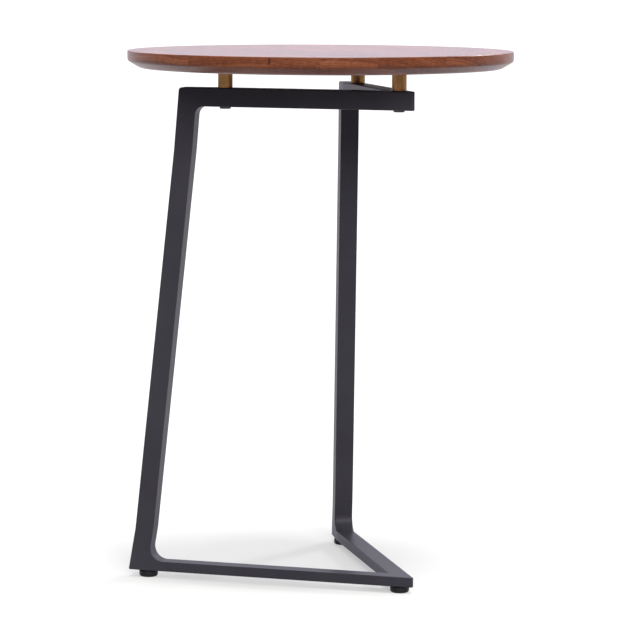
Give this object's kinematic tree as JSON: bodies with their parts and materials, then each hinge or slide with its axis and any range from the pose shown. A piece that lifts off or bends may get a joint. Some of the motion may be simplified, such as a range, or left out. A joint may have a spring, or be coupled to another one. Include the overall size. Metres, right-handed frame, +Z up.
{
  "type": "c-shaped side table",
  "caption": "Side table with a round walnut top on brass spacers and an open-fronted C-shaped steel frame that slides over a sofa or bed, on screw-in levelling glides.",
  "frame": {"origin": "on the floor, under the middle of the round top", "axes": "+Z up; -Y towards the front, where the two sides of the frame meet in a tip above and below; +X to the right; x = 0 is the frame's mirror plane"},
  "size_m": [0.45, 0.45, 0.62],
  "materials": {
    "walnut": "satin lacquered walnut",
    "powder_coat": "matte charcoal powder coat",
    "brass": "antique brass, satin",
    "black_steel": "black oxide",
    "zinc_steel": "zinc plated",
    "black_plastic": "fine-grained moulded plastic"
  },
  "bodies": {
    "table": {"top_board_1": "walnut", "top_board_2": "walnut", "top_board_3": "walnut", "top_board_4": "walnut", "top_board_5": "walnut", "top_board_6": "walnut", "left_top_arm": "powder_coat", "right_top_arm": "powder_coat", "left_top_elbow": "powder_coat", "right_top_elbow": "powder_coat", "left_leg": "powder_coat", "right_leg": "powder_coat", "left_foot_elbow": "powder_coat", "right_foot_elbow": "powder_coat", "left_base_arm": "powder_coat", "right_base_arm": "powder_coat", "front_spacer": "brass", "left_spacer": "brass", "right_spacer": "brass", "spacer_bolts": "black_steel", "threaded_inserts": "zinc_steel"},
    "front_stud": {"front_glide_stud": "zinc_steel"},
    "front_pad": {"front_glide_pad": "black_plastic"},
    "left_stud": {"left_glide_stud": "zinc_steel"},
    "left_pad": {"left_glide_pad": "black_plastic"},
    "right_stud": {"right_glide_stud": "zinc_steel"},
    "right_pad": {"right_glide_pad": "black_plastic"}
  },
  "joints": [
    {"name": "front_glide_travel", "type": "slide", "parent": "table", "child": "front_stud", "axis": [0, 0, -1], "range_m": [0, 0.004]},
    {"name": "front_glide_turn", "type": "hinge", "parent": "front_stud", "child": "front_pad", "pos_m": [0, -0.1392, 0], "axis": [0, 0, -1], "range_deg": [0, 1440]},
    {"name": "left_glide_travel", "type": "slide", "parent": "table", "child": "left_stud", "axis": [0, 0, -1], "range_m": [0, 0.004]},
    {"name": "left_glide_turn", "type": "hinge", "parent": "left_stud", "child": "left_pad", "pos_m": [-0.1565, 0.12657, 0], "axis": [0, 0, -1], "range_deg": [0, 1440]},
    {"name": "right_glide_travel", "type": "slide", "parent": "table", "child": "right_stud", "axis": [0, 0, -1], "range_m": [0, 0.004]},
    {"name": "right_glide_turn", "type": "hinge", "parent": "right_stud", "child": "right_pad", "pos_m": [0.1565, 0.12657, 0], "axis": [0, 0, -1], "range_deg": [0, 1440]}
  ],
  "couplings": [
    {"joint": "front_glide_travel", "follows": "front_glide_turn", "m_per_rad": 0.00015915},
    {"joint": "left_glide_travel", "follows": "left_glide_turn", "m_per_rad": 0.00015915},
    {"joint": "right_glide_travel", "follows": "right_glide_turn", "m_per_rad": 0.00015915}
  ]
}
